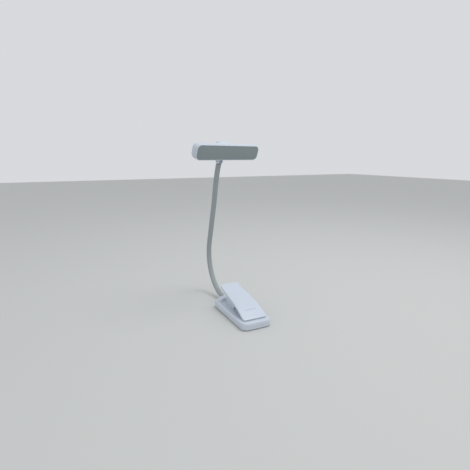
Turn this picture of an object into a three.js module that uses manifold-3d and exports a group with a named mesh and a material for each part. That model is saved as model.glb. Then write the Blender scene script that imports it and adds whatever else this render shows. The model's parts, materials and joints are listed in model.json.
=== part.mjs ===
// Clip-on reading lamp: a cordless LED bar head on a gooseneck that leaves the back of a sprung clip base.
// Millimetres, +Z up. The clip's nose points along -Y. The origin is the middle of the base's underside.
import * as THREE from "three";
import { mergeVertices } from "three/addons/utils/BufferGeometryUtils.js";
import Module from "manifold-3d";

const wasm = await Module();
wasm.setup();

// ---- Driving dimensions -------------------------------------------------------------------------

// Base: two half shells, a bracket for the lever's pin and a raised tail that holds the neck.
const baseWidth = 38.8;
const baseLength = 86;
const baseCorner = 7.5;
const baseBackCorner = 4;
const baseBottomZ = 0.8;
const baseTopZ = 9.5;
const seamZ = 4.3;
const seamGap = 0.2;
const wall = 1.8;
const tailTopZ = 12.6;
const tailFrontY = 33;
const tailShoulder = 9.5;
const tailFall = 6.3;
const tailFlatness = 1.7;
const tailInset = 0.6;
const bracketInset = 4.2;
const bracketWall = 1.8;
const bracketRound = 10;
const bracketFrontY = 2;
const bracketBackY = 27.5;
const bracketTopZ = 17.4;
const bracketCrestZ = 19.8;

// Lever: a curved, tapering channel that turns on a pin.
const pivotY = 12;
const pivotZ = 14.2;
const pinRadius = 1.5;
const leverNoseY = -36.2;
const leverTailY = 36;
const leverNoseHalf = 15.6;
const leverTailHalf = 12.5;
const leverPlate = 2;
const leverFlange = 3.4;
const leverFlangeWall = 1.6;
const leverGap = 0.7;
const leverLugInner = 5.3;
const leverLugOuter = 6.8;
const leverLugRadius = 4;

// Gooseneck.
const neckRadius = 3.5;
const neckBore = 2.7;
const coreRadius = 2.35;
const coreBore = 1.6;
const neckAxisZ = 6.2;
const neckStartY = 36;
const neckBendY = 53;
const lowerBendRadius = 52;
const upperBendRadius = 60;
const neckTopLength = 114.8;
const neckJoints = [2, 45, 88, 131, 174];
const neckSides = 12;

// Head: yaw and tilt of the bar, and its size.
const headYaw = THREE.MathUtils.degToRad(13.5);
const headTilt = THREE.MathUtils.degToRad(18);
const headLength = 100.4;
const headHeight = 19.6;
const headDepth = 12.4;
const headCorner = 6.6;
const headFrontY = -17;
const headMidZ = 16;
const headWall = 1.6;
const bezelDepth = 3.4;
const bezelRim = 0.9;
const knuckleDrop = 7.6;

const clearance = 0.3;
// How far to each side a cutter reaches, so that it passes the base's flanks, and how high one stands.
const past = 20;
const above = 60;

// ---- Materials ----------------------------------------------------------------------------------

const plastic = (color, roughness) =>
  new THREE.MeshStandardMaterial({ color, roughness, metalness: 0 });
const metal = (color, roughness) =>
  new THREE.MeshStandardMaterial({ color, roughness, metalness: 1 });
const shellWhite = plastic(0xd2dae1, 0.45);
const sleeveGrey = plastic(0xbcc3c6, 0.55);
const diffuserGrey = plastic(0xb4bcbf, 0.6);
const rubberGrey = plastic(0x55595c, 0.9);
const boardGreen = plastic(0x1d5b3a, 0.5);
const cellGrey = plastic(0x8c96a0, 0.4);
const steel = metal(0xb8bcc0, 0.3);

// ---- Solid helpers ------------------------------------------------------------------------------

function solid(geometry) {
  const bare = geometry.clone();
  bare.deleteAttribute("normal");
  bare.deleteAttribute("uv");
  const merged = mergeVertices(bare, 1e-4);
  return new wasm.Manifold(
    new wasm.Mesh({
      numProp: 3,
      vertProperties: new Float32Array(merged.attributes.position.array),
      triVerts: new Uint32Array(merged.index.array),
    }),
  );
}

function geometryOf(manifold) {
  const mesh = manifold.getMesh();
  const position = new Float32Array(mesh.numVert * 3);
  for (let i = 0; i < mesh.numVert; i++) {
    for (let k = 0; k < 3; k++) {
      position[i * 3 + k] = mesh.vertProperties[i * mesh.numProp + k];
    }
  }
  const geometry = new THREE.BufferGeometry();
  geometry.setAttribute("position", new THREE.BufferAttribute(position, 3));
  geometry.setIndex(new THREE.BufferAttribute(new Uint32Array(mesh.triVerts), 1));
  geometry.computeVertexNormals();
  return geometry;
}

function named(name, shape, material) {
  const geometry = shape.isBufferGeometry ? shape : geometryOf(shape);
  const mesh = new THREE.Mesh(geometry, material);
  mesh.name = name;
  return mesh;
}

function box(x0, x1, y0, y1, z0, z1) {
  const geometry = new THREE.BoxGeometry(x1 - x0, y1 - y0, z1 - z0);
  geometry.translate((x0 + x1) / 2, (y0 + y1) / 2, (z0 + z1) / 2);
  return solid(geometry);
}

// A cylinder or cone between two values along one axis: radii are at the low and the high end.
function rod(axis, low, high, radiusLow, centre, sides = 24, radiusHigh = radiusLow) {
  const geometry = new THREE.CylinderGeometry(radiusHigh, radiusLow, high - low, sides);
  if (axis === "x") geometry.rotateZ(-Math.PI / 2);
  if (axis === "z") geometry.rotateX(Math.PI / 2);
  const middle = (low + high) / 2;
  const [u, v] = centre;
  if (axis === "x") geometry.translate(middle, u, v);
  if (axis === "y") geometry.translate(u, middle, v);
  if (axis === "z") geometry.translate(u, v, middle);
  return solid(geometry);
}

function roundedShape(width, length, radius) {
  const w = width / 2;
  const l = length / 2;
  const shape = new THREE.Shape();
  shape.absarc(w - radius, l - radius, radius, 0, Math.PI / 2);
  shape.absarc(-w + radius, l - radius, radius, Math.PI / 2, Math.PI);
  shape.absarc(-w + radius, -l + radius, radius, Math.PI, 1.5 * Math.PI);
  shape.absarc(w - radius, -l + radius, radius, 1.5 * Math.PI, 2 * Math.PI);
  return shape;
}

// A prism on a rounded rectangle in XY. Positive roundings ease its bottom and top edges.
function roundedPrism(width, length, radius, z0, z1, easeLow = 0, easeHigh = 0) {
  const slab = (inset, low, high, bevel) => {
    const geometry = new THREE.ExtrudeGeometry(
      roundedShape(width - 2 * inset, length - 2 * inset, Math.max(radius - inset, 0.4)),
      {
        depth: high - low - 2 * bevel,
        bevelEnabled: bevel > 0,
        bevelSize: bevel,
        bevelThickness: bevel,
        bevelSegments: 2,
        curveSegments: 3,
      },
    );
    geometry.translate(0, 0, low + bevel);
    return solid(geometry);
  };
  if (!easeLow && !easeHigh) return slab(0, z0, z1, 0);
  // The far end of an eased slab is extended past the prism and cut off, so that only one edge is eased.
  const span = [-width, width, -length, length];
  let made = slab(0, z0 - 10, z1 + 10, 0).intersect(box(...span, z0, z1));
  if (easeHigh) made = made.intersect(slab(easeHigh, z0 - 20, z1, easeHigh));
  if (easeLow) made = made.intersect(slab(easeLow, z0, z1 + 20, easeLow));
  return made;
}

// A closed profile in the YZ plane, pushed along X.
function profileYZ(points, x0, x1) {
  const shape = new THREE.Shape(points.map(([y, z]) => new THREE.Vector2(y, z)));
  const geometry = new THREE.ExtrudeGeometry(shape, {
    depth: x1 - x0,
    bevelEnabled: false,
    curveSegments: 8,
  });
  // The shape's x, y and depth become the part's y, z and x.
  geometry.applyMatrix4(
    new THREE.Matrix4().set(0, 0, 1, x0, 1, 0, 0, 0, 0, 1, 0, 0, 0, 0, 0, 1),
  );
  return solid(geometry);
}

// The points of a half circle that hangs below its centre, for a lug or an ear round a pin.
function hangingArc(centreY, centreZ, radius) {
  const steps = 10;
  const points = [];
  for (let i = 0; i <= steps; i++) {
    const turn = Math.PI + (i / steps) * Math.PI;
    points.push([centreY + radius * Math.cos(turn), centreZ + radius * Math.sin(turn)]);
  }
  return points;
}

// A closed profile in the XZ plane, pushed along Y.
function profileXZ(points, y0, y1) {
  const shape = new THREE.Shape(points.map(([x, z]) => new THREE.Vector2(x, z)));
  const geometry = new THREE.ExtrudeGeometry(shape, { depth: y1 - y0, bevelEnabled: false });
  geometry.rotateX(Math.PI / 2);
  geometry.translate(0, y1, 0);
  return solid(geometry);
}

// A closed profile in the XY plane, pushed along Z.
function profileXY(points, z0, z1) {
  const shape = new THREE.Shape(points.map(([x, y]) => new THREE.Vector2(x, y)));
  const geometry = new THREE.ExtrudeGeometry(shape, { depth: z1 - z0, bevelEnabled: false });
  geometry.translate(0, 0, z0);
  return solid(geometry);
}

// ---- Gooseneck line -----------------------------------------------------------------------------

const up = new THREE.Vector3(0, 0, 1);
const headTurn = new THREE.Euler(headTilt, 0, headYaw, "ZYX");
const headUp = up.clone().applyEuler(headTurn);
const neckLean = Math.atan2(-headUp.y, headUp.z);
const lowerArc = (lowerBendRadius * Math.PI) / 2;
const upperArc = upperBendRadius * neckLean;
const neckLength = lowerArc + upperArc + neckTopLength;
const swayLength = 60;
const swayOffset = -0.3;

// The neck's line, by distance from where it starts to bend. Below 0 it is straight, inside the base.
class NeckLine extends THREE.Curve {
  constructor(from, to) {
    super();
    this.from = from;
    this.to = to;
  }

  static at(s) {
    const point = new THREE.Vector3(0, neckBendY, neckAxisZ);
    if (s <= 0) {
      point.y += s;
    } else if (s <= lowerArc) {
      const turn = s / lowerBendRadius;
      point.y += lowerBendRadius * Math.sin(turn);
      point.z += lowerBendRadius * (1 - Math.cos(turn));
    } else {
      const turn = Math.min((s - lowerArc) / upperBendRadius, neckLean);
      const rest = Math.max(s - lowerArc - upperArc, 0);
      const reach = lowerBendRadius - upperBendRadius * (1 - Math.cos(turn));
      point.y += reach - rest * Math.sin(neckLean);
      point.z += lowerBendRadius + upperBendRadius * Math.sin(turn) + rest * Math.cos(neckLean);
    }
    // The last stretch leans a little sideways, so that it ends in line with the head's own upright.
    const u = Math.max((s - (neckLength - swayLength)) / swayLength, 0);
    point.x = swayOffset * (3 * u * u - 2 * u ** 3) + headUp.x * swayLength * (u ** 3 - u * u);
    return point;
  }

  getPoint(t, target = new THREE.Vector3()) {
    return target.copy(NeckLine.at(this.from + (this.to - this.from) * t));
  }
}

function tubeAlong(from, to, radius, sides = neckSides) {
  const circle = new THREE.Shape();
  circle.absarc(0, 0, radius, 0, 2 * Math.PI);
  const geometry = new THREE.ExtrudeGeometry(circle, {
    steps: Math.max(2, Math.round((to - from) / 9)),
    curveSegments: sides / 2,
    extrudePath: new NeckLine(from, to),
  });
  return solid(geometry);
}

function ball(centre, radius) {
  const geometry = new THREE.SphereGeometry(radius, 12, 8);
  geometry.translate(centre.x, centre.y, centre.z);
  return solid(geometry);
}

const socketRadius = neckRadius + 0.35;
const coreNear = neckRadius + 0.4;
const coreFar = 2.7;
const neckEnds = [neckStartY + 4 - neckBendY, ...neckJoints, neckLength];

// One length of outer sleeve: a ball end at its far joint, and a hollow end at its near joint.
function neckSleeve(index) {
  const from = neckEnds[index];
  const to = neckEnds[index + 1];
  const last = index === neckEnds.length - 2;
  let made = tubeAlong(from, to, neckRadius);
  if (!last) made = made.add(ball(NeckLine.at(to), neckRadius));
  if (index > 0) made = made.subtract(ball(NeckLine.at(from), socketRadius));
  return made.subtract(tubeAlong(from - 2, to + 6, neckBore, 8));
}

// One length of the steel core inside the sleeve, short of the joints at both ends.
function neckCore(index) {
  const last = index === neckEnds.length - 2;
  const from = neckEnds[index] + (index > 0 ? coreNear : 0.4);
  const to = neckEnds[index + 1] - (last ? 9 : coreFar);
  return tubeAlong(from, to, coreRadius, 8).subtract(tubeAlong(from - 1, to + 1, coreBore, 6));
}

// ---- Base ---------------------------------------------------------------------------------------

const screwSpots = [
  [-13.6, -37.6],
  [13.6, -37.6],
  [-13.6, 36.4],
  [13.6, 36.4],
];
const screwRadius = 0.9;
const screwHeadRadius = 2;
const bossRadius = 2.3;
const lowerBossRadius = 2.9;
const lowerFloor = 1.4;
const seatHalf = 8;
const seatFrontY = 36.4;
const seatBackY = 42;
const glandFlangeRadius = 4.7;
const glandNeckRadius = 4.2;
const glandOuterRadius = 5;
const glandFlangeY = [38.6, 40.2];
const glandPocketY = [38.2, 40.6];
const glandTipY = 51.5;
const portY = 22;
const portWidth = 9;
const portHeight = 3.2;
const portZ = 6.1;
const footWidth = 21;
const footLength = 75;
const footDepth = 1;
const footCorner = 3;
const cellHalf = 16.5;
const cellY = [-34.2, 7.8];
const cellZ = [2.5, 7.4];
const pinEnd = 8.4;
const padHalf = 11.4;
const padFrontY = -33.6;
const padBackY = -25.6;

// The opening that the neck's gland passes through, half in each shell.
function glandRoom() {
  const seat = rod("y", 34, 46, glandNeckRadius + clearance, [0, neckAxisZ], 20);
  const pocket = rod("y", ...glandPocketY, glandFlangeRadius + clearance, [0, neckAxisZ], 20);
  return seat.add(pocket);
}

// A slab on the base's outline, set in by an inset. Its back corners are tighter than its front ones.
function baseSlab(inset, z0, z1, easeLow = 0, easeHigh = 0) {
  const width = baseWidth - 2 * inset;
  const backLength = baseLength / 2 - inset;
  const back = roundedPrism(width, backLength, baseBackCorner - inset, z0, z1, easeLow, easeHigh);
  return roundedPrism(width, baseLength - 2 * inset, baseCorner - inset, z0, z1, easeLow, easeHigh).add(
    back.translate([0, backLength / 2, 0]),
  );
}

function lowerShell() {
  let shell = baseSlab(0, baseBottomZ, seamZ - seamGap / 2, 0.9, 0);
  shell = shell.subtract(baseSlab(wall, baseBottomZ + lowerFloor, seamZ + 1));
  // A block that carries the lower half of the gland's seat.
  shell = shell.add(box(-seatHalf, seatHalf, seatFrontY, seatBackY, baseBottomZ + 0.4, seamZ - seamGap / 2));
  for (const [x, y] of screwSpots) {
    shell = shell.add(rod("z", baseBottomZ + 0.4, seamZ - seamGap / 2, lowerBossRadius, [x, y], 16));
    shell = shell.subtract(rod("z", 0, 6, screwRadius + clearance, [x, y], 12));
    shell = shell.subtract(rod("z", 0, 2.3, screwHeadRadius + clearance, [x, y], 16));
  }
  shell = shell.subtract(footBlock(clearance, footDepth + clearance));
  return shell.subtract(glandRoom());
}

function leverHalfAt(y) {
  const share = (y - leverNoseY) / (leverTailY - leverNoseY);
  return leverNoseHalf + (leverTailHalf - leverNoseHalf) * share;
}

// The bracket's outline from above, or with an inset the outline of its room.
function bracketPlan(inset) {
  const front = leverHalfAt(bracketFrontY) - bracketInset - inset;
  const back = leverHalfAt(bracketBackY) - bracketInset - inset;
  return [
    [front, bracketFrontY],
    [back, bracketBackY],
    [-back, bracketBackY],
    [-front, bracketFrontY],
  ];
}

// The tail's outline across the base: a flat-topped arch.
function tailOutline(inset) {
  const half = baseWidth / 2 - tailInset - inset;
  const points = [[half, 0]];
  for (let i = 0; i <= 7; i++) {
    const turn = (i / 7) * (Math.PI / 2);
    points.push([
      half - tailShoulder * (1 - Math.cos(turn) ** tailFlatness),
      tailTopZ - inset - tailFall * (1 - Math.sin(turn) ** tailFlatness),
    ]);
  }
  return [...points, ...points.map(([x, z]) => [-x, z]).reverse()];
}

function upperShell() {
  const seam = seamZ + seamGap / 2;
  let shell = baseSlab(0, seam, baseTopZ, 0, 1.8);
  const tail = profileXZ(tailOutline(0), tailFrontY, baseLength / 2).intersect(
    baseSlab(0, seam, tailTopZ + 4),
  );
  shell = shell.add(tail);
  const tailRoom = profileXZ(tailOutline(wall), tailFrontY + wall, baseLength / 2 - wall);
  shell = shell
    .subtract(baseSlab(wall, 0, baseTopZ - wall))
    .subtract(tailRoom.intersect(baseSlab(wall, 0, tailTopZ)));
  // A block that carries the upper half of the gland's seat.
  const seat = box(-seatHalf, seatHalf, seatFrontY, seatBackY, seam, tailTopZ - 1).intersect(
    profileXZ(tailOutline(0.5), tailFrontY, baseLength / 2 - 0.5),
  );
  shell = shell.add(seat);
  // Two side walls and a back wall that carry the lever's pin. They taper as the lever does.
  const side = [
    [bracketFrontY, baseTopZ - 1],
    [bracketBackY, baseTopZ - 1],
    [bracketBackY, bracketTopZ - 1.5],
    [bracketBackY - 1.5, bracketTopZ],
    [pivotY + 7, bracketTopZ],
    [pivotY, bracketCrestZ],
    [bracketFrontY, bracketCrestZ],
  ];
  // The front edge is rounded about the pin.
  const front = box(-past, past, 0, pivotY, 0, 30).subtract(
    rod("x", -past - 1, past + 1, bracketRound, [pivotY, pivotZ], 60),
  );
  const bracket = profileYZ(side, -past, past)
    .intersect(profileXY(bracketPlan(0), 0, 30))
    .subtract(front)
    .subtract(
      profileXY(bracketPlan(bracketWall), baseTopZ, 30).intersect(
        box(-past, past, 0, bracketBackY - bracketWall, 0, 30),
      ),
    )
    .subtract(box(-past, past, bracketBackY - bracketWall - 1, 40, bracketTopZ - 1.5, 30));
  shell = shell.add(bracket);
  const pinSeat = pinEnd + 0.1;
  shell = shell.subtract(
    rod("x", -pinSeat, pinSeat, pinRadius + 0.25, [pivotY, pivotZ], 20),
  );
  for (const [x, y] of screwSpots) {
    shell = shell.add(rod("z", seam, baseTopZ - 1, bossRadius, [x, y], 14));
    shell = shell.subtract(rod("z", 0, 8, screwRadius + clearance, [x, y], 12));
  }
  // Recess for the lower jaw pad, the charging port and its light.
  shell = shell.subtract(
    box(
      -padHalf - clearance, padHalf + clearance, padFrontY - clearance, padBackY + clearance,
      baseTopZ - 0.9, baseTopZ + 2,
    ),
  );
  shell = shell.subtract(
    box(
      16, 22, portY - portWidth / 2 - clearance, portY + portWidth / 2 + clearance,
      portZ - portHeight / 2 - clearance, portZ + portHeight / 2 + clearance,
    ),
  );
  shell = shell.subtract(rod("x", 15, 22, 1.1, [portY - 8.5, portZ], 12));
  return shell.subtract(glandRoom());
}

// The foot, or with a margin the recess that it is glued into.
function footBlock(margin, top) {
  return roundedPrism(footWidth + 2 * margin, footLength + 2 * margin, footCorner + margin, 0, top);
}

function coverScrew([x, y]) {
  return rod("z", 1.1, 2.1, screwHeadRadius, [x, y], 12)
    .add(rod("z", 1.9, 7.2, screwRadius, [x, y], 10))
    .subtract(box(x - 1.3, x + 1.3, y - 0.25, y + 0.25, 0, 1.5))
    .subtract(box(x - 0.25, x + 0.25, y - 1.3, y + 1.3, 0, 1.5));
}

// A flanged bush, gripped between the shells, with a tapered strain relief outside.
function neckGland() {
  return rod("y", ...glandFlangeY, glandFlangeRadius, [0, neckAxisZ], 20)
    .add(rod("y", glandFlangeY[0], baseLength / 2 + 0.6, glandNeckRadius, [0, neckAxisZ], 20))
    .add(rod("y", baseLength / 2 + 0.4, baseLength / 2 + 2.2, glandOuterRadius, [0, neckAxisZ], 20))
    .add(rod("y", baseLength / 2 + 2, glandTipY, glandOuterRadius, [0, neckAxisZ], 20, glandNeckRadius))
    .subtract(rod("y", 30, 60, neckRadius + clearance, [0, neckAxisZ], 20));
}

function chargeBoard() {
  return box(-7, 16.6, 9, 31, 3.2, 4.2)
    .add(box(-4, 1, 14, 19, 4.1, 5.4))
    .add(box(3, 6, 24, 28, 4.1, 5));
}

function chargePort() {
  const low = portZ - portHeight / 2;
  const middle = [-portWidth / 2 + portY, portWidth / 2 + portY];
  return box(12.2, 19.5, ...middle, low, low + portHeight)
    .subtract(box(13.6, 22, middle[0] + 0.4, middle[1] - 0.4, low + 0.4, low + portHeight - 0.4))
    .add(box(13.4, 18.6, middle[0] + 1.6, middle[1] - 1.6, portZ - 0.3, portZ + 0.3));
}

function base() {
  const group = new THREE.Group();
  group.add(named("base_lower_shell", lowerShell(), shellWhite));
  group.add(named("base_upper_shell", upperShell(), shellWhite));
  group.add(named("foot_pad", footBlock(0, footDepth), rubberGrey));
  screwSpots.forEach((spot, i) => {
    group.add(named(`base_screw_${i + 1}`, coverScrew(spot), steel));
  });
  group.add(named("battery_cell", box(-cellHalf, cellHalf, ...cellY, ...cellZ), cellGrey));
  group.add(named("charge_board", chargeBoard(), boardGreen));
  group.add(named("charge_port", chargePort(), steel));
  const lightPipe = rod("x", 17.2, 19.5, 0.8, [portY - 8.5, portZ], 10);
  group.add(named("charge_light_pipe", lightPipe, diffuserGrey));
  const jawPad = box(-padHalf, padHalf, padFrontY, padBackY, baseTopZ - 0.6, baseTopZ + 0.35);
  group.add(named("lower_jaw_pad", jawPad, rubberGrey));
  group.add(named("neck_gland", neckGland(), shellWhite));
  const pin = rod("x", -pinEnd, pinEnd, pinRadius, [pivotY, pivotZ], 20);
  group.add(named("pivot_pin", pin, steel));
  return group;
}

// ---- Lever --------------------------------------------------------------------------------------

// The lever's upper surface from nose to tail, as heights along the base.
const leverLine = new THREE.SplineCurve([
  new THREE.Vector2(leverNoseY, 11.4),
  new THREE.Vector2(-26, 15.9),
  new THREE.Vector2(-17, 19.6),
  new THREE.Vector2(-8, 22.2),
  new THREE.Vector2(1, 24),
  new THREE.Vector2(18, 26.8),
  new THREE.Vector2(27, 29),
  new THREE.Vector2(leverTailY, 32.3),
]);
const leverSteps = 22;

// The band between two depths under the upper surface, from nose to tail.
function leverBand(high, low, start = 0, end = 1) {
  const top = [];
  const bottom = [];
  for (let i = 0; i <= leverSteps; i++) {
    const t = start + ((end - start) * i) / leverSteps;
    const point = leverLine.getPoint(t);
    const slope = leverLine.getTangent(t);
    top.push([point.x + slope.y * high, point.y - slope.x * high]);
    bottom.push([point.x + slope.y * low, point.y - slope.x * low]);
  }
  return [...bottom, ...top.reverse()];
}

// The lever's outline from above: a taper with eased corners.
function leverPlan(inset) {
  const nose = leverNoseHalf - inset;
  const tail = leverTailHalf - inset;
  const front = leverNoseY - 0.2 + inset;
  const back = leverTailY + 0.2 - inset;
  const ease = 2.4;
  const right = [];
  for (let i = 0; i <= 4; i++) {
    const turn = ((i / 4 - 1) * Math.PI) / 2;
    right.push([nose - ease + ease * Math.cos(turn), front + ease + ease * Math.sin(turn)]);
  }
  for (let i = 0; i <= 4; i++) {
    const turn = ((i / 4) * Math.PI) / 2;
    right.push([tail - ease + ease * Math.cos(turn), back - ease + ease * Math.sin(turn)]);
  }
  return [...right, ...right.map(([x, y]) => [-x, y]).reverse()];
}

function leverShell() {
  let shell = profileYZ(leverBand(0, leverFlange), -past, past).intersect(
    profileXY(leverPlan(0), 0, above),
  );
  const hollow = profileYZ(leverBand(leverPlate, leverFlange + 3), -past, past).intersect(
    profileXY(leverPlan(leverFlangeWall), 0, above),
  );
  shell = shell.subtract(hollow);
  // The nose is cut level, just clear of the base.
  shell = shell.subtract(box(-past, past, -50, 40, 0, baseTopZ + leverGap));
  // Two lugs that hang from the plate to the pin.
  const lug = hangingArc(pivotY, pivotZ, leverLugRadius);
  lug.push([pivotY + 7, 26], [pivotY - 7, 24]);
  for (const sign of [-1, 1]) {
    const x0 = sign > 0 ? leverLugInner : -leverLugOuter;
    shell = shell.add(profileYZ(lug, x0, x0 + leverLugOuter - leverLugInner));
  }
  return shell.subtract(rod("x", -9, 9, pinRadius + clearance, [pivotY, pivotZ], 20));
}

// A rubber wedge under the lever's nose.
function upperJawPad() {
  return profileYZ(leverBand(leverPlate + clearance, 14, 0, 0.4), -past, past).intersect(
    box(-padHalf, padHalf, padFrontY, padBackY, baseTopZ + leverGap, 30),
  );
}

const springRadius = 3.3;
const springWire = 0.55;
const springTurns = 5;
const springHalf = 3.2;
const springLegStart = -Math.PI / 2 - 0.08;
const springLegLength = 8;

// The sprung coil round the pin, ending in a leg that pushes on the base.
class SpringLine extends THREE.Curve {
  getPoint(t, target = new THREE.Vector3()) {
    const coilShare = 0.9;
    const wound = Math.min(t / coilShare, 1);
    const turn = springLegStart + wound * springTurns * 2 * Math.PI;
    target.set(
      -springHalf + wound * 2 * springHalf,
      pivotY + springRadius * Math.cos(turn),
      pivotZ + springRadius * Math.sin(turn),
    );
    const leg = Math.max(t - coilShare, 0) / (1 - coilShare);
    target.y += -Math.sin(turn) * springLegLength * leg;
    target.z += Math.cos(turn) * springLegLength * leg;
    return target;
  }
}

function springCoil() {
  const wire = new THREE.Shape();
  wire.absarc(0, 0, springWire, 0, 2 * Math.PI);
  return new THREE.ExtrudeGeometry(wire, {
    steps: springTurns * 13,
    curveSegments: 3,
    extrudePath: new SpringLine(),
  });
}

// The spring's other leg, which turns with the lever.
function springLeverLeg() {
  const from = new THREE.Vector3(-springHalf - 1.25, pivotY + 3.3, pivotZ + 1.2);
  const to = new THREE.Vector3(-springHalf - 1.25, pivotY + 9, pivotZ + 8.2);
  const wire = new THREE.Shape();
  wire.absarc(0, 0, springWire, 0, 2 * Math.PI);
  return new THREE.ExtrudeGeometry(wire, {
    steps: 1,
    curveSegments: 3,
    extrudePath: new THREE.LineCurve3(from, to),
  });
}

function lever() {
  const group = new THREE.Group();
  group.add(named("lever_shell", leverShell(), shellWhite));
  group.add(named("upper_jaw_pad", upperJawPad(), rubberGrey));
  group.add(named("spring_lever_leg", springLeverLeg(), steel));
  return group;
}

// ---- Neck ---------------------------------------------------------------------------------------

function neck() {
  const group = new THREE.Group();
  for (let i = 0; i < neckEnds.length - 1; i++) {
    group.add(named(`neck_sleeve_${i}`, neckSleeve(i), sleeveGrey));
    group.add(named(`neck_core_${i}`, neckCore(i), steel));
  }
  return group;
}

// ---- Head, in its own frame: +Z up the bar, -Y out of the light face, origin on the tilt pin -----

const tongueHalf = 1.2;
const washerGap = 0.12;
const washerThick = 0.4;
const earInner = tongueHalf + 2 * washerGap + washerThick;
const earThick = 1.6;
const earRadius = 3.8;
const tiltPinRadius = 1.2;
const turretWidth = 18;
const turretFrontY = -6;
const turretBackY = 6;
const turretCorner = 5;
const turretEase = 4.2;
const turretTopZ = 26.1;
const turretLowZ = 6.4;
const turretWall = 1.5;
const headBackY = headFrontY + headDepth;
const bezelBackY = headFrontY + bezelDepth;
const buttonRadius = 4.2;
const buttonZ = 17;
const buttonTravel = 0.7;

// The bar's outline lies in XZ, so a prism made in XY is stood up to face -Y.
function barPrism(inset, y0, y1, easeFront = 0, easeBack = 0) {
  const made = roundedPrism(
    headLength - 2 * inset, headHeight - 2 * inset, headCorner - inset, -y1, -y0,
    easeBack, easeFront,
  );
  return made.rotate([90, 0, 0]).translate([0, 0, headMidZ]);
}

// The tongue that the head nods on. It stands on the neck's end and turns in it.
function knuckle() {
  const tongue = rod("x", -tongueHalf, tongueHalf, earRadius - 0.3, [0, 0], 24);
  const foot = rod("z", -knuckleDrop + 0.3, -earRadius - 0.4, 3.6, [0, 0], 20);
  const waist = box(-tongueHalf, tongueHalf, -2.8, 2.8, -5, 0);
  const spigot = rod("z", -knuckleDrop - 7, -knuckleDrop + 0.6, 2.2, [0, 0], 14);
  return tongue
    .add(waist)
    .add(foot)
    .add(spigot)
    .subtract(rod("x", -6, 6, tiltPinRadius + clearance, [0, 0], 16));
}

function frictionWasher(sign) {
  const near = tongueHalf + washerGap;
  const span = sign > 0 ? [near, near + washerThick] : [-near - washerThick, -near];
  return rod("x", ...span, 3, [0, 0], 16).subtract(
    rod("x", -6, 6, tiltPinRadius + clearance, [0, 0], 16),
  );
}

function tiltScrew() {
  const end = earInner + earThick;
  return rod("x", -end + 0.4, end + 0.6, tiltPinRadius, [0, 0], 14)
    .add(rod("x", end + 0.3, end + 1.2, 2.3, [0, 0], 18))
    .subtract(box(end + 0.8, end + 3, -1.7, 1.7, -0.3, 0.3));
}

// The rounded housing behind the bar's middle, or the room inside it.
function turret(inset, ease) {
  const middle = (turretFrontY + turretBackY) / 2;
  return roundedPrism(
    turretWidth - 2 * inset, turretBackY - turretFrontY - 2 * inset, turretCorner - inset,
    turretLowZ + inset, turretTopZ - inset, 0, ease,
  ).translate([0, middle, 0]);
}

// The back shell with its turret and the two ears of the tilt hinge.
function headBackShell() {
  let shell = barPrism(0, bezelBackY + 0.2, headBackY, 0, 3.2);
  shell = shell.subtract(barPrism(headWall, bezelBackY - 1, headBackY - headWall, 0, 2));
  shell = shell.add(turret(0, turretEase)).subtract(turret(turretWall, turretEase - turretWall));
  shell = shell.subtract(barPrism(headWall, bezelBackY - 1, headBackY - 4));
  const end = earInner + earThick;
  const ear = hangingArc(0, 0, earRadius);
  ear.push([turretBackY - 0.8, turretLowZ + 1], [-earRadius, turretLowZ + 1]);
  shell = shell.add(profileYZ(ear, -end, -earInner)).add(profileYZ(ear, earInner, end));
  shell = shell.subtract(rod("x", -12, 12, tiltPinRadius + clearance, [0, 0], 16));
  shell = shell.subtract(rod("y", 0, 9, buttonRadius + 0.35, [0, buttonZ], 24));
  shell = shell.subtract(box(-4, 4, headBackY - 4, 0, headMidZ - 4, headMidZ + 4));
  for (const x of [-ledScrewX, ledScrewX]) {
    shell = shell.add(rod("y", bezelBackY + 2.7, headBackY - 1, 2.2, [x, ledScrewZ], 12));
    shell = shell.subtract(rod("y", -30, headBackY - 2.4, 1.2, [x, ledScrewZ], 10));
  }
  return shell;
}

function headBezel() {
  return barPrism(0, headFrontY, bezelBackY, 0.7, 0)
    .subtract(barPrism(bezelRim, headFrontY - 1, headFrontY + 1.6))
    .subtract(barPrism(bezelRim + 1.2, headFrontY - 1, bezelBackY + 1));
}

function diffuser() {
  return barPrism(bezelRim + clearance, headFrontY + 0.15, headFrontY + 1.35);
}

const ledCount = 14;
const ledPitch = 6.4;
const ledHalfWidth = 1.4;
const ledHalfHeight = 1.75;
const ledScrewX = 34;
const ledScrewZ = headMidZ + 4.2;

function ledBoard() {
  let board = barPrism(3.2, headFrontY + 4.6, headFrontY + 5.8);
  for (let i = 0; i < ledCount; i++) {
    const x = (i - (ledCount - 1) / 2) * ledPitch;
    board = board.add(
      box(
        x - ledHalfWidth, x + ledHalfWidth, headFrontY + 3.8, headFrontY + 4.8,
        headMidZ - ledHalfHeight, headMidZ + ledHalfHeight,
      ),
    );
  }
  for (const x of [-ledScrewX, ledScrewX]) {
    board = board.subtract(rod("y", -30, 0, 1.3, [x, ledScrewZ], 12));
  }
  return board;
}

function powerButton() {
  const spot = [0, buttonZ];
  const wallBack = turretBackY - turretWall;
  return rod("y", wallBack - 0.8, turretBackY + 0.3, buttonRadius, spot, 24)
    .add(rod("y", wallBack - 1.1, wallBack - 0.5, buttonRadius + 0.9, spot, 24))
    .add(rod("y", turretBackY + 0.2, turretBackY + 0.9, buttonRadius, spot, 24, buttonRadius - 1));
}

const plungerBackY = turretBackY - turretWall - 1.4;
const plungerLength = 1.6;
const switchBackY = plungerBackY - plungerLength - buttonTravel - 0.05;

function switchBoard() {
  return box(-6, 6, switchBackY - 1.9, switchBackY - 1.1, buttonZ - 6, buttonZ + 6).add(
    box(-3, 3, switchBackY - 1.2, switchBackY, buttonZ - 3, buttonZ + 3),
  );
}

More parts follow.
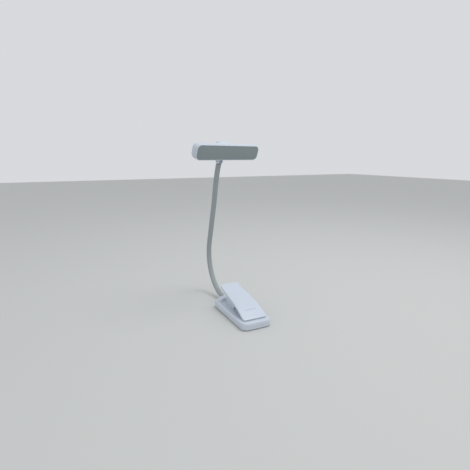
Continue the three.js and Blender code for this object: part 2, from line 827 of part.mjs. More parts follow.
function switchPlunger() {
  return rod("y", plungerBackY - plungerLength, plungerBackY, 1.5, [0, buttonZ], 12);
}

function boardScrew(x) {
  return rod("y", headFrontY + 2.9, headFrontY + 4.3, 1.9, [x, ledScrewZ], 12).add(
    rod("y", headFrontY + 4.1, headFrontY + 8.4, 0.9, [x, ledScrewZ], 10),
  );
}

function head() {
  const group = new THREE.Group();
  group.add(named("knuckle", knuckle(), sleeveGrey));
  group.add(named("friction_washer_left", frictionWasher(-1), steel));
  group.add(named("friction_washer_right", frictionWasher(1), steel));
  group.add(named("tilt_screw", tiltScrew(), steel));
  group.add(named("head_back_shell", headBackShell(), shellWhite));
  group.add(named("head_bezel", headBezel(), shellWhite));
  group.add(named("diffuser", diffuser(), diffuserGrey));
  group.add(named("led_board", ledBoard(), boardGreen));
  group.add(named("board_screw_left", boardScrew(-ledScrewX), steel));
  group.add(named("board_screw_right", boardScrew(ledScrewX), steel));
  group.add(named("power_button", powerButton(), shellWhite));
  group.add(named("switch_board", switchBoard(), boardGreen));
  group.add(named("switch_plunger", switchPlunger(), rubberGrey));
  group.rotation.copy(headTurn);
  group.position.copy(NeckLine.at(neckLength)).addScaledVector(headUp, knuckleDrop);
  return group;
}

const lamp = new THREE.Group();
lamp.add(base(), lever(), neck(), head());
lamp.add(named("torsion_spring", springCoil(), steel));

export default lamp;
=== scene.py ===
import json
import math

import bmesh
import bpy
from mathutils import Matrix, Vector


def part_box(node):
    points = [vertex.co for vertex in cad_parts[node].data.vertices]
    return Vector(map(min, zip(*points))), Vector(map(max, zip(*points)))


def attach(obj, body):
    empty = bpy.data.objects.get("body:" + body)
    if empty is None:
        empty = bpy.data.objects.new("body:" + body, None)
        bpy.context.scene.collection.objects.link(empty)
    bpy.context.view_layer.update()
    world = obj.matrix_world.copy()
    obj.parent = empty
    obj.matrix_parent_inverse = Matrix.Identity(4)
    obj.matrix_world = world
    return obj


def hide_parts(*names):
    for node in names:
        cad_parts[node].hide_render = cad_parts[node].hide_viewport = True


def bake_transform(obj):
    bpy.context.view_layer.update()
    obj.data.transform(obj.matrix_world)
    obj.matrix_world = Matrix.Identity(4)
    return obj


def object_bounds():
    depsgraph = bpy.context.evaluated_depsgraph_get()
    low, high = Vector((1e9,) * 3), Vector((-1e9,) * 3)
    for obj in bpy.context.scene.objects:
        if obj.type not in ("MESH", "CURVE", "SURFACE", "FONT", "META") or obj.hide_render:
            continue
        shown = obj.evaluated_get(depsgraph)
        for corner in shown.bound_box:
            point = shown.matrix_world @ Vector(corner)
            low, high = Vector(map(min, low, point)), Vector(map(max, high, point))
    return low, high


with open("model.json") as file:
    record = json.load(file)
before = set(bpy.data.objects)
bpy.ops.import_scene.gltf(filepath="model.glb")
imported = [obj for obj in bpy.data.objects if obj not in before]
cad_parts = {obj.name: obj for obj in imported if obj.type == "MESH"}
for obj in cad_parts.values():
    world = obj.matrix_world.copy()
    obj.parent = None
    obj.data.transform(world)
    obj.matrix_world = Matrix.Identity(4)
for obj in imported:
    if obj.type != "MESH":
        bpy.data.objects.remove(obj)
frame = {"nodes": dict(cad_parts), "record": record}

# Lengths in this script are in millimetres, and mm turns them into Blender's metres.
mm = 0.001
cadLow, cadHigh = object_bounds()
joints = {joint["name"]: joint for joint in frame["record"]["behaviour"]["joints"]}
print("frame loaded")


def jointPlace(name):
    return Vector(joints[name]["pos_m"]) / mm


def jointAxis(name):
    return Vector(joints[name]["axis"]).normalized()


# the head's own frame: x along the tilt screw, z up the bar, y out of its back
headX = jointAxis("head_tilt")
headZ = jointAxis("head_swivel")
headY = headZ.cross(headX).normalized()
headFrame = Matrix.Identity(4)
for row in range(3):
    headFrame[row][0], headFrame[row][1], headFrame[row][2] = headX[row], headY[row], headZ[row]
    headFrame[row][3] = jointPlace("head_tilt")[row] * mm


# modelling helpers


def clearSelection():
    active = bpy.context.view_layer.objects.active
    if active and active.mode != "OBJECT":
        bpy.ops.object.mode_set(mode="OBJECT")
    bpy.ops.object.select_all(action="DESELECT")


def makeActive(piece):
    clearSelection()
    piece.select_set(True)
    bpy.context.view_layer.objects.active = piece


def addBlock(name, low, high):
    clearSelection()
    middle = [(a + b) / 2 * mm for a, b in zip(low, high)]
    bpy.ops.mesh.primitive_cube_add(size=1, location=middle)
    piece = bpy.context.object
    piece.name = name
    piece.scale = [(b - a) * mm for a, b in zip(low, high)]
    bpy.ops.object.transform_apply(location=True, rotation=True, scale=True)
    return piece


def addRod(name, axis, low, high, radius, centre, sides=48):
    clearSelection()
    turn = {"x": (0, math.pi / 2, 0), "y": (math.pi / 2, 0, 0), "z": (0, 0, 0)}[axis]
    place = {"x": (0, *centre), "y": (centre[0], 0, centre[1]), "z": (*centre, 0)}[axis]
    place = list(place)
    place["xyz".index(axis)] = (low + high) / 2
    bpy.ops.mesh.primitive_cylinder_add(
        vertices=sides,
        radius=radius * mm,
        depth=(high - low) * mm,
        location=[v * mm for v in place],
        rotation=turn,
    )
    piece = bpy.context.object
    piece.name = name
    bpy.ops.object.transform_apply(location=True, rotation=True, scale=True)
    return piece


def editEdges(piece, chosen):
    # enters edit mode with only the chosen edges selected
    makeActive(piece)
    bpy.ops.object.mode_set(mode="EDIT")
    bpy.ops.mesh.select_mode(type="EDGE")
    bpy.ops.mesh.select_all(action="DESELECT")
    mesh = bmesh.from_edit_mesh(piece.data)
    for edge in mesh.edges:
        a, b = (v.co / mm for v in edge.verts)
        if chosen(a, b):
            edge.select_set(True)
    bmesh.update_edit_mesh(piece.data)


def editFaces(piece, chosen):
    makeActive(piece)
    bpy.ops.object.mode_set(mode="EDIT")
    bpy.ops.mesh.select_mode(type="FACE")
    bpy.ops.mesh.select_all(action="DESELECT")
    mesh = bmesh.from_edit_mesh(piece.data)
    for face in mesh.faces:
        if chosen(face.calc_center_median() / mm, face.normal):
            face.select_set(True)
    bmesh.update_edit_mesh(piece.data)


def editPoints(piece, chosen):
    makeActive(piece)
    bpy.ops.object.mode_set(mode="EDIT")
    bpy.ops.mesh.select_mode(type="VERT")
    bpy.ops.mesh.select_all(action="DESELECT")
    mesh = bmesh.from_edit_mesh(piece.data)
    for point in mesh.verts:
        if chosen(point.co / mm):
            point.select_set(True)
    bmesh.update_edit_mesh(piece.data)


def leaveEdit():
    bpy.ops.object.mode_set(mode="OBJECT")


def roundEdges(piece, chosen, width, segments=6, profile=0.5):
    editEdges(piece, chosen)
    bpy.ops.mesh.bevel(
        offset=width * mm, offset_type="OFFSET", segments=segments, affect="EDGES",
        clamp_overlap=True, profile=profile,
    )
    leaveEdit()


def alongAxis(axis):
    # picks edges that run along one axis
    k = "xyz".index(axis)
    others = [i for i in range(3) if i != k]
    return lambda a, b: all(abs(a[i] - b[i]) < 0.01 for i in others)


def atLevel(axis, level):
    # picks edges that lie in one plane across an axis
    k = "xyz".index(axis)
    return lambda a, b: abs(a[k] - level) < 0.01 and abs(b[k] - level) < 0.01


def cutAway(piece, *tools, operation="DIFFERENCE"):
    for tool in tools:
        makeActive(piece)
        cut = piece.modifiers.new("cut", "BOOLEAN")
        cut.operation = operation
        cut.solver = "EXACT"
        cut.object = tool
        bpy.ops.object.modifier_apply(modifier=cut.name)
        bpy.data.objects.remove(tool)


def joinOn(piece, *tools):
    cutAway(piece, *tools, operation="UNION")


def softenEdges(piece, width, segments=2, angle=38):
    makeActive(piece)
    soft = piece.modifiers.new("soft", "BEVEL")
    soft.width = width * mm
    soft.segments = segments
    soft.limit_method = "ANGLE"
    soft.angle_limit = math.radians(angle)
    soft.harden_normals = False
    bpy.ops.object.modifier_apply(modifier=soft.name)


def roundedBlock(name, low, high, corner, axis="z", segments=10):
    # a block whose four edges along one axis are rounded
    piece = addBlock(name, low, high)
    roundEdges(piece, alongAxis(axis), corner, segments)
    return piece


def turnedPiece(name, outline, sides=48):
    # a ring is extruded and resized from one point of the outline to the next: (radius, height) along +Z
    clearSelection()
    radius, height = outline[0]
    bpy.ops.mesh.primitive_circle_add(
        vertices=sides, radius=radius * mm, location=(0, 0, height * mm), fill_type="NGON"
    )
    piece = bpy.context.object
    piece.name = name
    bpy.ops.object.transform_apply(location=True, rotation=True, scale=True)
    bpy.ops.object.mode_set(mode="EDIT")
    bpy.ops.mesh.select_all(action="SELECT")
    for nextRadius, nextHeight in outline[1:]:
        bpy.ops.mesh.extrude_region_move(
            TRANSFORM_OT_translate={"value": (0, 0, (nextHeight - height) * mm)}
        )
        growth = nextRadius / radius
        bpy.ops.transform.resize(value=(growth, growth, 1), center_override=(0, 0, nextHeight * mm))
        radius, height = nextRadius, nextHeight
    bpy.ops.mesh.select_all(action="SELECT")
    bpy.ops.mesh.normals_make_consistent(inside=False)
    leaveEdit()
    return piece


def moveInto(piece, matrix):
    # carries a piece from its drawing place into the object, and applies its place
    makeActive(piece)
    piece.matrix_world = matrix @ piece.matrix_world
    bpy.ops.object.transform_apply(location=True, rotation=True, scale=True)


def finishPiece(piece, body, material, replaced=(), angle=32):
    makeActive(piece)
    bpy.ops.object.mode_set(mode="EDIT")
    bpy.ops.mesh.select_all(action="SELECT")
    bpy.ops.mesh.remove_doubles(threshold=0.000002)
    bpy.ops.mesh.normals_make_consistent(inside=False)
    leaveEdit()
    bpy.ops.object.shade_smooth_by_angle(angle=math.radians(angle))
    piece.data.materials.clear()
    piece.data.materials.append(material)
    if body:
        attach(piece, body)
    if replaced:
        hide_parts(*replaced)


# shader groups and materials


def newGroup(name, inputs, outputs):
    group = bpy.data.node_groups.new(name, "ShaderNodeTree")
    for label, kind, value in inputs:
        socket = group.interface.new_socket(label, in_out="INPUT", socket_type=kind)
        socket.default_value = value
    for label, kind in outputs:
        group.interface.new_socket(label, in_out="OUTPUT", socket_type=kind)
    start = group.nodes.new("NodeGroupInput")
    end = group.nodes.new("NodeGroupOutput")
    return group, start, end


def makeMouldGrain():
    # the fine sparkle of a moulded surface, as a height and a soft mask
    group, start, end = newGroup(
        "mouldGrain",
        [("Scale", "NodeSocketFloat", 2500.0), ("Coarse", "NodeSocketFloat", 60.0)],
        [("Height", "NodeSocketFloat"), ("Cloud", "NodeSocketFloat")],
    )
    add, link = group.nodes.new, group.links.new
    place = add("ShaderNodeTexCoord")
    fine = add("ShaderNodeTexNoise")
    fine.inputs["Detail"].default_value = 3
    cloud = add("ShaderNodeTexNoise")
    cloud.inputs["Detail"].default_value = 4
    link(place.outputs["Object"], fine.inputs["Vector"])
    link(place.outputs["Object"], cloud.inputs["Vector"])
    link(start.outputs["Scale"], fine.inputs["Scale"])
    link(start.outputs["Coarse"], cloud.inputs["Scale"])
    link(fine.outputs["Fac"], end.inputs["Height"])
    link(cloud.outputs["Fac"], end.inputs["Cloud"])
    return group


def makeEdgeWear():
    # a mask of rubbed outer edges, broken up so that it doesn't run evenly
    group, start, end = newGroup(
        "edgeWear",
        [("Amount", "NodeSocketFloat", 0.5), ("Break Up", "NodeSocketFloat", 300.0)],
        [("Mask", "NodeSocketFloat")],
    )
    add, link = group.nodes.new, group.links.new
    shape = add("ShaderNodeNewGeometry")
    edge = add("ShaderNodeMapRange")
    edge.inputs["From Min"].default_value = 0.52
    edge.inputs["From Max"].default_value = 0.6
    place = add("ShaderNodeTexCoord")
    patches = add("ShaderNodeTexNoise")
    patches.inputs["Detail"].default_value = 5
    broken = add("ShaderNodeMath")
    broken.operation = "MULTIPLY"
    strength = add("ShaderNodeMath")
    strength.operation = "MULTIPLY"
    strength.use_clamp = True
    link(shape.outputs["Pointiness"], edge.inputs["Value"])
    link(place.outputs["Object"], patches.inputs["Vector"])
    link(start.outputs["Break Up"], patches.inputs["Scale"])
    link(edge.outputs["Result"], broken.inputs[0])
    link(patches.outputs["Fac"], broken.inputs[1])
    link(broken.outputs["Value"], strength.inputs[0])
    link(start.outputs["Amount"], strength.inputs[1])
    link(strength.outputs["Value"], end.inputs["Mask"])
    return group


mouldGrain = makeMouldGrain()
edgeWear = makeEdgeWear()


def toLinear(red, green, blue):
    # an 0 to 255 screen colour as Blender's linear colour
    def one(value):
        value /= 255
        return value / 12.92 if value <= 0.04045 else ((value + 0.055) / 1.055) ** 2.4

    return (one(red), one(green), one(blue), 1.0)


def makeFinish(name, look):
    # two close tones, worn edges, uneven gloss and a fine relief on one Principled surface
    material = bpy.data.materials.new(name)
    material.use_nodes = True
    nodes, link = material.node_tree.nodes, material.node_tree.links.new
    surface = nodes["Principled BSDF"]
    surface.inputs["Metallic"].default_value = look.get("metallic", 0.0)
    surface.inputs["IOR"].default_value = look.get("ior", 1.46)
    surface.inputs["Specular IOR Level"].default_value = look.get("gloss", 0.5)
    surface.inputs["Subsurface Weight"].default_value = look.get("glow", 0.0)
    surface.inputs["Subsurface Scale"].default_value = 0.002
    grain = nodes.new("ShaderNodeGroup")
    grain.node_tree = mouldGrain
    grain.inputs["Scale"].default_value = look.get("grain", 2500.0)
    grain.inputs["Coarse"].default_value = look.get("cloud", 70.0)
    wear = nodes.new("ShaderNodeGroup")
    wear.node_tree = edgeWear
    wear.inputs["Amount"].default_value = look.get("wear", 0.5)
    tone = nodes.new("ShaderNodeMix")
    tone.data_type = "RGBA"
    tone.inputs["A"].default_value = toLinear(*look["colour"])
    tone.inputs["B"].default_value = toLinear(*look["second"])
    rubbed = nodes.new("ShaderNodeMix")
    rubbed.data_type = "RGBA"
    rubbed.inputs["B"].default_value = toLinear(*look["worn"])
    link(grain.outputs["Cloud"], tone.inputs["Factor"])
    link(tone.outputs["Result"], rubbed.inputs["A"])
    link(wear.outputs["Mask"], rubbed.inputs["Factor"])
    link(rubbed.outputs["Result"], surface.inputs["Base Color"])
    gloss = nodes.new("ShaderNodeMapRange")
    gloss.inputs["To Min"].default_value = look["roughness"] - look.get("unevenness", 0.06)
    gloss.inputs["To Max"].default_value = look["roughness"] + look.get("unevenness", 0.06)
    link(grain.outputs["Cloud"], gloss.inputs["Value"])
    link(gloss.outputs["Result"], surface.inputs["Roughness"])
    relief = nodes.new("ShaderNodeBump")
    relief.inputs["Strength"].default_value = look.get("relief", 0.12)
    relief.inputs["Distance"].default_value = look.get("reliefDepth", 0.00005)
    link(grain.outputs["Height"], relief.inputs["Height"])
    link(relief.outputs["Normal"], surface.inputs["Normal"])
    return material


looks = {
    "paleShell": {
        "colour": (206, 214, 224), "second": (200, 209, 220), "worn": (224, 229, 235),
        "roughness": 0.4, "grain": 3200.0, "relief": 0.1,
    },
    "paleLever": {
        "colour": (208, 216, 228), "second": (202, 211, 224), "worn": (226, 231, 238),
        "roughness": 0.36, "grain": 3600.0, "relief": 0.08,
    },
    # the neck sleeve's own grey, also worn by the knuckle as painted shade under the head
    "neckGreyAndKnuckleShade": {
        "colour": (158, 166, 168), "second": (150, 159, 162), "worn": (172, 179, 181),
        "roughness": 0.5, "grain": 2200.0, "relief": 0.16, "unevenness": 0.08,
    },
    # the frosted panel's grey is painted shade: a pale panel darkened because its face looks down, away from
    # the key light
    "frostedPanelShade": {
        "colour": (140, 150, 152), "second": (135, 146, 148), "worn": (154, 162, 164),
        "roughness": 0.62, "grain": 4200.0, "relief": 0.2, "unevenness": 0.05, "glow": 0.05,
    },
    "softRubber": {
        "colour": (66, 69, 71), "second": (54, 57, 59), "worn": (92, 95, 97),
        "roughness": 0.85, "grain": 1500.0, "relief": 0.3, "gloss": 0.3,
    },
    "zincSteel": {
        "colour": (190, 193, 197), "second": (172, 176, 181), "worn": (214, 216, 219),
        "roughness": 0.3, "metallic": 1.0, "grain": 1800.0, "relief": 0.08,
    },
    "boardMask": {
        "colour": (28, 88, 58), "second": (22, 76, 49), "worn": (186, 158, 96),
        "roughness": 0.35, "grain": 1200.0, "relief": 0.1,
    },
    "cellFoil": {
        "colour": (176, 180, 184), "second": (158, 163, 168), "worn": (200, 203, 206),
        "roughness": 0.42, "metallic": 0.7, "grain": 500.0, "relief": 0.25,
    },
}
materials = {name: makeFinish(name, look) for name, look in looks.items()}
slotFinish = {
    "white_shell": "paleShell",
    "neck_sleeve": "neckGreyAndKnuckleShade",
    "diffuser": "frostedPanelShade",
    "rubber": "softRubber",
    "steel": "zincSteel",
    "circuit_board": "boardMask",
    "battery": "cellFoil",
}
for subpart in frame["record"]["subparts"]:
    node = frame["nodes"][subpart["node"]]
    node.data.materials.clear()
    node.data.materials.append(materials[slotFinish[subpart["material_slot"]]])
print("materials made")


# camera, light and floor

view = {"place": (-205.0, -393.3, 198.3), "yaw": 26.49, "pitch": 11.88, "lens": 28.5}


def makeCamera():
    yaw, pitch = math.radians(view["yaw"]), math.radians(view["pitch"])
    look = Vector((math.sin(yaw) * math.cos(pitch), math.cos(yaw) * math.cos(pitch), -math.sin(pitch)))
    bpy.ops.object.camera_add(
        location=[v * mm for v in view["place"]], rotation=look.to_track_quat("-Z", "Y").to_euler()
    )
    camera = bpy.context.object
    camera.name = "viewCamera"
    camera.data.lens = view["lens"]
    camera.data.sensor_width = 36
    camera.data.clip_start = 0.01
    bpy.context.scene.camera = camera
    bpy.context.scene.view_settings.view_transform = "Standard"


lighting = {
    "key": {"from": (0.38, -0.15, 1.0), "reach": 0.9, "size": 0.42, "watts": 2.6},
    "fill": {"from": (-0.2, -1.0, 0.5), "reach": 1.1, "size": 0.9, "watts": 1.1},
    "sky": 0.72,
    "floor": (205, 206, 204),
}


def makeLights():
    aim = (cadLow + cadHigh) / 2
    for name in ("key", "fill"):
        lamp = lighting[name]
        way = Vector(lamp["from"]).normalized()
        clearSelection()
        bpy.ops.object.light_add(
            type="AREA", location=aim + way * lamp["reach"], rotation=way.to_track_quat("Z", "Y").to_euler()
        )
        light = bpy.context.object
        light.name = name + "Light"
        light.data.size = lamp["size"]
        light.data.energy = lamp["watts"]
    world = bpy.data.worlds.new("paleSky")
    world.use_nodes = True
    sky = world.node_tree.nodes["Background"]
    sky.inputs["Color"].default_value = (0.95, 0.97, 1.0, 1)
    sky.inputs["Strength"].default_value = lighting["sky"]
    bpy.context.scene.world = world


def makeFloor():
    clearSelection()
    bpy.ops.mesh.primitive_plane_add(size=6, location=(0, 0, 0))
    floor = bpy.context.object
    floor.name = "paleFloor"
    paint = bpy.data.materials.new("paleFloorPaint")
    paint.use_nodes = True
    surface = paint.node_tree.nodes["Principled BSDF"]
    surface.inputs["Base Color"].default_value = toLinear(*lighting["floor"])
    surface.inputs["Roughness"].default_value = 0.8
    floor.data.materials.append(paint)


makeCamera()
makeLights()
makeFloor()
print("camera, light and floor made")

# base

base = {
    "half": (19.4, 43.0), "corner": 7.5, "backCorner": 4.0, "seam": 4.3, "seamGap": 0.2,
    "bottom": 0.8, "top": 9.5, "topEase": 1.8, "bottomEase": 0.9,
    "tailFront": 33.0, "tailTop": 12.6, "tailHalf": 18.8,
    "tailShoulder": 9.5, "tailFall": 6.3, "tailProfile": 0.31,
    "bracketFront": 2.0, "bracketBack": 27.5, "bracketFrontHalf": 9.76, "bracketBackHalf": 8.67,
    "bracketTop": 17.4, "bracketCrest": 19.8, "bracketRound": 10.0, "bracketWall": 1.8,
    "bracketBackWall": 2.0, "notchLength": 3.0, "notchDepth": 1.5,
    "pinHalf": 8.4, "pinRadius": 1.5, "glandSeat": 4.5,
    "screwSpots": [(-13.6, -37.6), (13.6, -37.6), (-13.6, 36.4), (13.6, 36.4)],
}
pivot = jointPlace("lever_hinge")


def taperToBracket(block, inset):
    # narrows a block, drawn one millimetre each side of the middle, to the bracket's own taper
    front, back = base["bracketFront"], base["bracketBack"]
    for y in sorted({round(v.co.y / mm, 3) for v in block.data.vertices}):
        share = (y - front) / (back - front)
        half = base["bracketFrontHalf"] + (base["bracketBackHalf"] - base["bracketFrontHalf"]) * share
        editPoints(block, lambda p: abs(p.y - y) < 0.01)
        bpy.ops.transform.resize(value=(half - inset, 1, 1), center_override=(0, 0, 0))
        leaveEdit()


def makeBracket():
    # two side walls and a back wall round the lever's pin
    front, back, crown = base["bracketFront"], base["bracketBack"], base["bracketTop"]
    crest = base["bracketCrest"]
    bracket = addBlock("bracket", (-1, front, base["top"] - 1.2), (1, back, crest))
    makeActive(bracket)
    bpy.ops.object.mode_set(mode="EDIT")
    for y in (pivot.y, pivot.y + 7):
        bpy.ops.mesh.select_all(action="SELECT")
        bpy.ops.mesh.bisect(plane_co=(0, y * mm, 0), plane_no=(0, 1, 0))
    leaveEdit()
    editPoints(bracket, lambda p: p.z > crest - 0.1 and p.y > pivot.y + 1)
    bpy.ops.transform.translate(value=(0, 0, (crown - crest) * mm))
    leaveEdit()
    taperToBracket(bracket, 0)
    roundEdges(bracket, lambda a, b: alongAxis("x")(a, b) and a.z > crown - 0.1 and a.y > back - 0.5, 1.5, 4)
    # the front edge is rounded about the pin
    nose = addBlock("nose", (-20, front - 4, 0), (20, pivot.y, 30))
    cheek = addRod("cheek", "x", -21, 21, base["bracketRound"], (pivot.y, pivot.z), 128)
    cutAway(nose, cheek)
    wall = base["bracketWall"]
    room = addBlock("room", (-1, front - 5, base["top"]), (1, back - base["bracketBackWall"], crest + 5))
    taperToBracket(room, wall)
    notchLow = (-20, back - base["notchLength"], crown - base["notchDepth"])
    notch = addBlock("notch", notchLow, (20, 40, crown + 5))
    cutAway(bracket, nose, room, notch)
    softenEdges(bracket, 0.25, 2)
    return bracket


def baseSlab(name, low, high):
    # a slab on the base's outline, with tighter corners at its back
    x, y = base["half"]
    slab = addBlock(name, (-x, -y, low), (x, y, high))
    roundEdges(slab, lambda a, b: alongAxis("z")(a, b) and a.y < 0, base["corner"], 12)
    roundEdges(slab, lambda a, b: alongAxis("z")(a, b) and a.y > 30, base["backCorner"], 10)
    return slab


def makeBaseUpper():
    y = base["half"][1]
    low = base["seam"] + base["seamGap"] / 2
    shell = baseSlab("baseUpperShell", low, base["top"])
    roundEdges(shell, atLevel("z", base["top"]), base["topEase"], 6)
    # the tail is an arch pushed along the base and trimmed to the base's own outline
    half = base["tailHalf"]
    top = base["tailTop"]
    spring = top - base["tailFall"]
    crown = spring + base["tailShoulder"]
    tail = addBlock("tail", (-half, base["tailFront"], low + 0.05), (half, y + 5, crown))
    roundEdges(
        tail, lambda a, b: alongAxis("y")(a, b) and a.z > crown - 0.1,
        base["tailShoulder"], 14, base["tailProfile"],
    )
    editPoints(tail, lambda p: p.z > spring + 0.01)
    bpy.ops.transform.resize(
        value=(1, 1, base["tailFall"] / base["tailShoulder"]), center_override=(0, 0, spring * mm)
    )
    leaveEdit()
    trim = baseSlab("trim", low - 3, top + 4)
    cutAway(tail, trim, operation="INTERSECT")
    softenEdges(tail, 0.9, 4)
    joinOn(shell, tail)
    joinOn(shell, makeBracket())
    return shell


def addGlandSeat():
    # the round seat that the neck's gland lies in, half of it in each shell
    low, high = (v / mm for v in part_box("neck_gland"))
    return addRod("seat", "y", 38, 50, base["glandSeat"], (0, (low.z + high.z) / 2), 48)


def makeBaseOpenings(shell):
    # jaw pad recess, charging port, light pipe hole and the neck's seat
    low, high = (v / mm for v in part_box("lower_jaw_pad"))
    room = 0.25
    recess = roundedBlock(
        "recess", (low.x - room, low.y - room, low.z - room),
        (high.x + room, high.y + room, high.z + 5), 0.8, segments=4,
    )
    low, high = (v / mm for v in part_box("charge_port"))
    port = roundedBlock(
        "port", (low.x, low.y - 0.3, low.z - 0.3), (high.x + 3, high.y + 0.3, high.z + 0.3), 1.5, "x", 6
    )
    low, high = (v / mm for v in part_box("charge_light_pipe"))
    hole = addRod("hole", "x", low.x, high.x + 3, 1.1, ((low.y + high.y) / 2, (low.z + high.z) / 2), 24)
    seat = addGlandSeat()
    reach = base["pinHalf"] + 0.1
    pin = addRod("pin", "x", -reach, reach, base["pinRadius"] + 0.25, (pivot.y, pivot.z), 32)
    cutAway(shell, recess, port, hole, seat, pin)


def makeBaseLower():
    shell = baseSlab("baseLowerShell", base["bottom"], base["seam"] - base["seamGap"] / 2)
    roundEdges(shell, atLevel("z", base["bottom"]), base["bottomEase"], 5)
    low, top = (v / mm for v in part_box("foot_pad"))
    recess = roundedBlock(
        "recess", (low.x - 0.3, low.y - 0.3, -1), (top.x + 0.3, top.y + 0.3, top.z + 0.3), 3.3
    )
    cutAway(shell, recess)
    for place in base["screwSpots"]:
        well = addRod("well", "z", -1, 2.35, 2.3, place, 32)
        cutAway(shell, well)
    cutAway(shell, addGlandSeat())
    return shell


def makeFootPad():
    low, high = (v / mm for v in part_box("foot_pad"))
    pad = roundedBlock("footPad", low, high, 3, segments=8)
    editFaces(pad, lambda centre, normal: normal.z < -0.9)
    bpy.ops.mesh.inset(thickness=1.2 * mm, depth=0)
    bpy.ops.mesh.inset(thickness=0.5 * mm, depth=-0.35 * mm)
    leaveEdit()
    softenEdges(pad, 0.15, 2)
    return pad


def makeJawPad(name, node, ribCount):
    # a ribbed rubber pad: thin grooves run across the jaw
    low, high = (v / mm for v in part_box(node))
    pad = roundedBlock(name, low, high, 0.6, segments=4)
    pitch = (high.y - low.y) / ribCount
    for i in range(1, ribCount):
        y = low.y + i * pitch
        groove = addBlock("groove", (low.x - 1, y - 0.2, high.z - 0.25), (high.x + 1, y + 0.2, high.z + 1))
        cutAway(pad, groove)
    return pad


upperShell = makeBaseUpper()
makeBaseOpenings(upperShell)
finishPiece(upperShell, "base", materials["paleShell"], ["base_upper_shell"])
lowerShell = makeBaseLower()
finishPiece(lowerShell, "base", materials["paleShell"], ["base_lower_shell"])
finishPiece(makeFootPad(), "base", materials["softRubber"], ["foot_pad"])
jawPad = makeJawPad("lowerJawPad", "lower_jaw_pad", 7)
finishPiece(jawPad, "base", materials["softRubber"], ["lower_jaw_pad"])
print("base made")


# lever

lever = {
    "noseY": -36.2, "tailY": 36.0, "noseHalf": 15.6, "tailHalf": 12.5, "thick": 3.4, "plate": 2.0,
    "flange": 1.6, "gap": 0.7,
    "line": [(-36.2, 11.4), (-26, 15.9), (-17, 19.6), (-8, 22.2), (1, 24), (18, 26.8), (27, 29), (36, 32.3)],
    "steps": 24, "lugInner": 5.3, "lugOuter": 6.8, "lugRadius": 4.0,
    "pinHole": 1.8, "grooveY": -23.2, "grooveHalf": 7.4, "grooveWide": 0.45,
}


def leverHeight(y):
    # a smooth line through the lever's points (Catmull-Rom)
    line = lever["line"]
    points = [line[0], *line, line[-1]]
    for i in range(1, len(points) - 2):
        (y0, z0), (y1, z1), (y2, z2), (y3, z3) = points[i - 1 : i + 3]
        if y <= y2 or i == len(points) - 3:
            t = min(max((y - y1) / (y2 - y1), 0), 1)
            slopeIn = (z2 - z0) / (y2 - y0) * (y2 - y1)
            slopeOut = (z3 - z1) / (y3 - y1) * (y2 - y1)
            a = 2 * t**3 - 3 * t**2 + 1
            b = t**3 - 2 * t**2 + t
            c = -2 * t**3 + 3 * t**2
            d = t**3 - t**2
            return a * z1 + b * slopeIn + c * z2 + d * slopeOut
    return line[-1][1]


def leverHalf(y):
    share = (y - lever["noseY"]) / (lever["tailY"] - lever["noseY"])
    return lever["noseHalf"] + (lever["tailHalf"] - lever["noseHalf"]) * share


def shapeLeverSlab(name, front, back):
    # a slab cut into strips, each strip raised and narrowed to the lever's line
    slab = addBlock(name, (-1, front, -lever["thick"]), (1, back, 0))
    steps = lever["steps"]
    levels = [front + (back - front) * i / steps for i in range(steps + 1)]
    makeActive(slab)
    bpy.ops.object.mode_set(mode="EDIT")
    for y in levels[1:-1]:
        bpy.ops.mesh.select_all(action="SELECT")
        bpy.ops.mesh.bisect(plane_co=(0, y * mm, 0), plane_no=(0, 1, 0))
    leaveEdit()
    for y in levels:
        editPoints(slab, lambda p: abs(p.y - y) < 0.01)
        bpy.ops.transform.resize(value=(leverHalf(y), 1, 1), center_override=(0, 0, 0))
        bpy.ops.transform.translate(value=(0, 0, leverHeight(y) * mm))
        leaveEdit()
    return slab


def makeLeverPlate():
    nose, tail = lever["noseY"], lever["tailY"]
    plate = shapeLeverSlab("leverShell", nose - 0.2, tail + 0.2)
    upright = lambda a, b: abs(a.y - b.y) < 0.05 and abs(a.x - b.x) < 0.05
    roundEdges(plate, lambda a, b: upright(a, b) and a.y < nose + 0.5, 2.9, 6)
    roundEdges(plate, lambda a, b: upright(a, b) and a.y > tail - 0.5, 2.6, 6)
    # the underside is hollowed, which leaves a thin plate and a rim
    editFaces(plate, lambda centre, normal: normal.z < -0.6)
    bpy.ops.mesh.inset(thickness=lever["flange"] * mm, depth=0, use_even_offset=True)
    bpy.ops.transform.translate(value=(0, 0, (lever["thick"] - lever["plate"]) * mm))
    leaveEdit()
    low = base["top"] + lever["gap"]
    floor = addBlock("floor", (-30, -60, low - 30), (30, 60, low))
    cutAway(plate, floor)
    softenEdges(plate, 0.55, 4, 42)
    return plate


def makeLeverLug(side):
    inner, outer = sorted((side * lever["lugInner"], side * lever["lugOuter"]))
    radius = lever["lugRadius"]
    lug = addBlock("lug", (inner, pivot.y - radius, pivot.z - radius), (outer, pivot.y + radius, 25))
    roundEdges(lug, lambda a, b: alongAxis("x")(a, b) and a.z < pivot.z, radius - 0.02, 12)
    hole = addRod("hole", "x", -10, 10, lever["pinHole"], (pivot.y, pivot.z), 32)
    cutAway(lug, hole)
    return lug


def makeLever():
    shell = makeLeverPlate()
    joinOn(shell, makeLeverLug(-1), makeLeverLug(1))
    y = lever["grooveY"]
    slope = math.atan2(leverHeight(y + 1) - leverHeight(y - 1), 2)
    reach, wide = lever["grooveHalf"], lever["grooveWide"]
    groove = roundedBlock("groove", (-reach, -wide, -wide), (reach, wide, 3), wide - 0.01, segments=5)
    place = Matrix.Translation((0, y * mm, leverHeight(y) * mm))
    moveInto(groove, place @ Matrix.Rotation(slope, 4, "X"))
    cutAway(shell, groove)
    return shell


finishPiece(makeLever(), "lever", materials["paleLever"], ["lever_shell"], angle=28)
print("lever made")


# pins and screws


